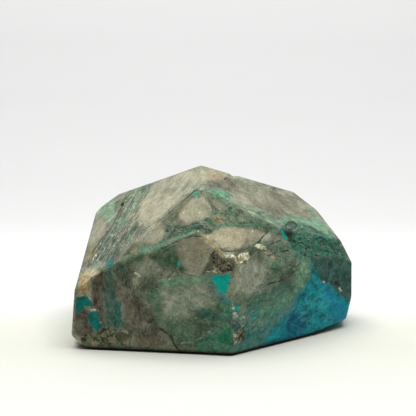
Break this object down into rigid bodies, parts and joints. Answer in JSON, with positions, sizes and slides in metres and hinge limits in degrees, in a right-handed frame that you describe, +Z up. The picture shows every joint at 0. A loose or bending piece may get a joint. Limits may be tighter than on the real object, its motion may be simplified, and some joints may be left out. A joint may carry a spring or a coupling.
{
  "type": "polished shattuckite specimen",
  "caption": "Free-form polished mineral specimen of quartz with teal, green and blue copper minerals, ground to flat faces so that it stands on its sawn base.",
  "frame": {"origin": "middle of the bounding box, on the flat base that the stone stands on", "axes": "+Z up, -Y towards the front edge where the two tall polished walls meet, +X towards the blue end"},
  "size_m": [0.0783, 0.0578, 0.0468],
  "materials": {
    "stone": "polished mottled quartz in beige, grey and smoky brown, veined and patched with green, teal and blue copper minerals"
  },
  "bodies": {
    "root": {"stone": "stone"}
  },
  "joints": []
}
